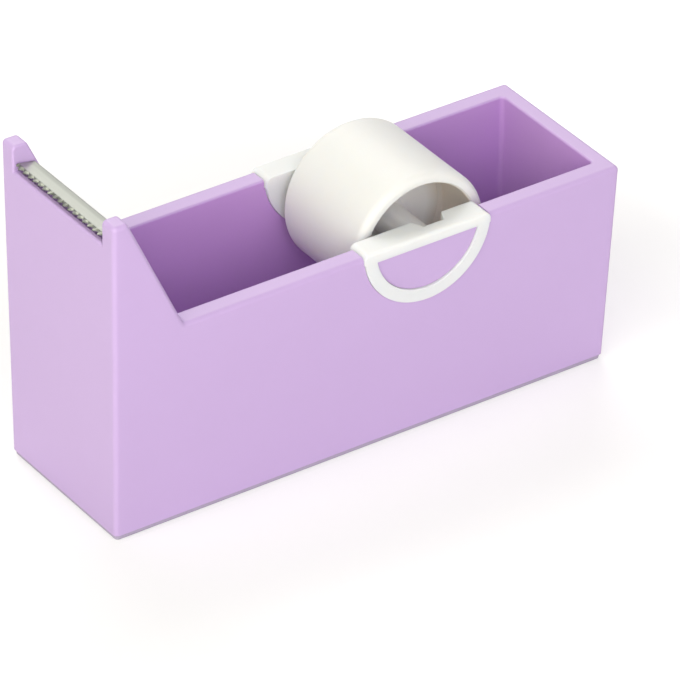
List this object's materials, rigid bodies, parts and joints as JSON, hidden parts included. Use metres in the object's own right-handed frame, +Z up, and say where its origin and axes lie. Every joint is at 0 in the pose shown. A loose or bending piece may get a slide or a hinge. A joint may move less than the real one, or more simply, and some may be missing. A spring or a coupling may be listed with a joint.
{
  "type": "small tape dispenser",
  "caption": "Small desk dispenser for narrow tape: open purple trough, tall serrated cutting head, lift-out white spool on an axle between two saddles.",
  "frame": {"origin": "on the table under the middle of the whole outline", "axes": "+X from the cutting head to the rear wall, +Y to the far side wall along the axle, +Z up"},
  "size_m": [0.0958, 0.0318, 0.058],
  "materials": {
    "casing_plastic": "satin moulded",
    "cover_plastic": "fine moulded grain",
    "white_plastic": "smooth",
    "spool_plastic": "smooth",
    "blade_steel": "brushed",
    "ballast_metal": "as cast",
    "screw_steel": "zinc plated",
    "mat_rubber": "matt foam"
  },
  "bodies": {
    "stand": {"casing": "casing_plastic", "blade": "blade_steel", "saddle_near": "white_plastic", "saddle_far": "white_plastic", "base_cover": "cover_plastic", "ballast": "ballast_metal", "foot_mat": "mat_rubber", "cover_screw_1": "screw_steel", "cover_screw_2": "screw_steel", "cover_screw_3": "screw_steel", "cover_screw_4": "screw_steel"},
    "axle_pin": {"axle": "white_plastic"},
    "drum": {"spool": "spool_plastic"}
  },
  "joints": [
    {"name": "axle_lift", "type": "slide", "parent": "stand", "child": "axle_pin", "axis": [0, 0, 1], "range_m": [0, 0.022]},
    {"name": "spool_spin", "type": "hinge", "parent": "axle_pin", "child": "drum", "pos_m": [0.01305, 0, 0.0312], "axis": [0, 1, 0], "continuous": true}
  ]
}
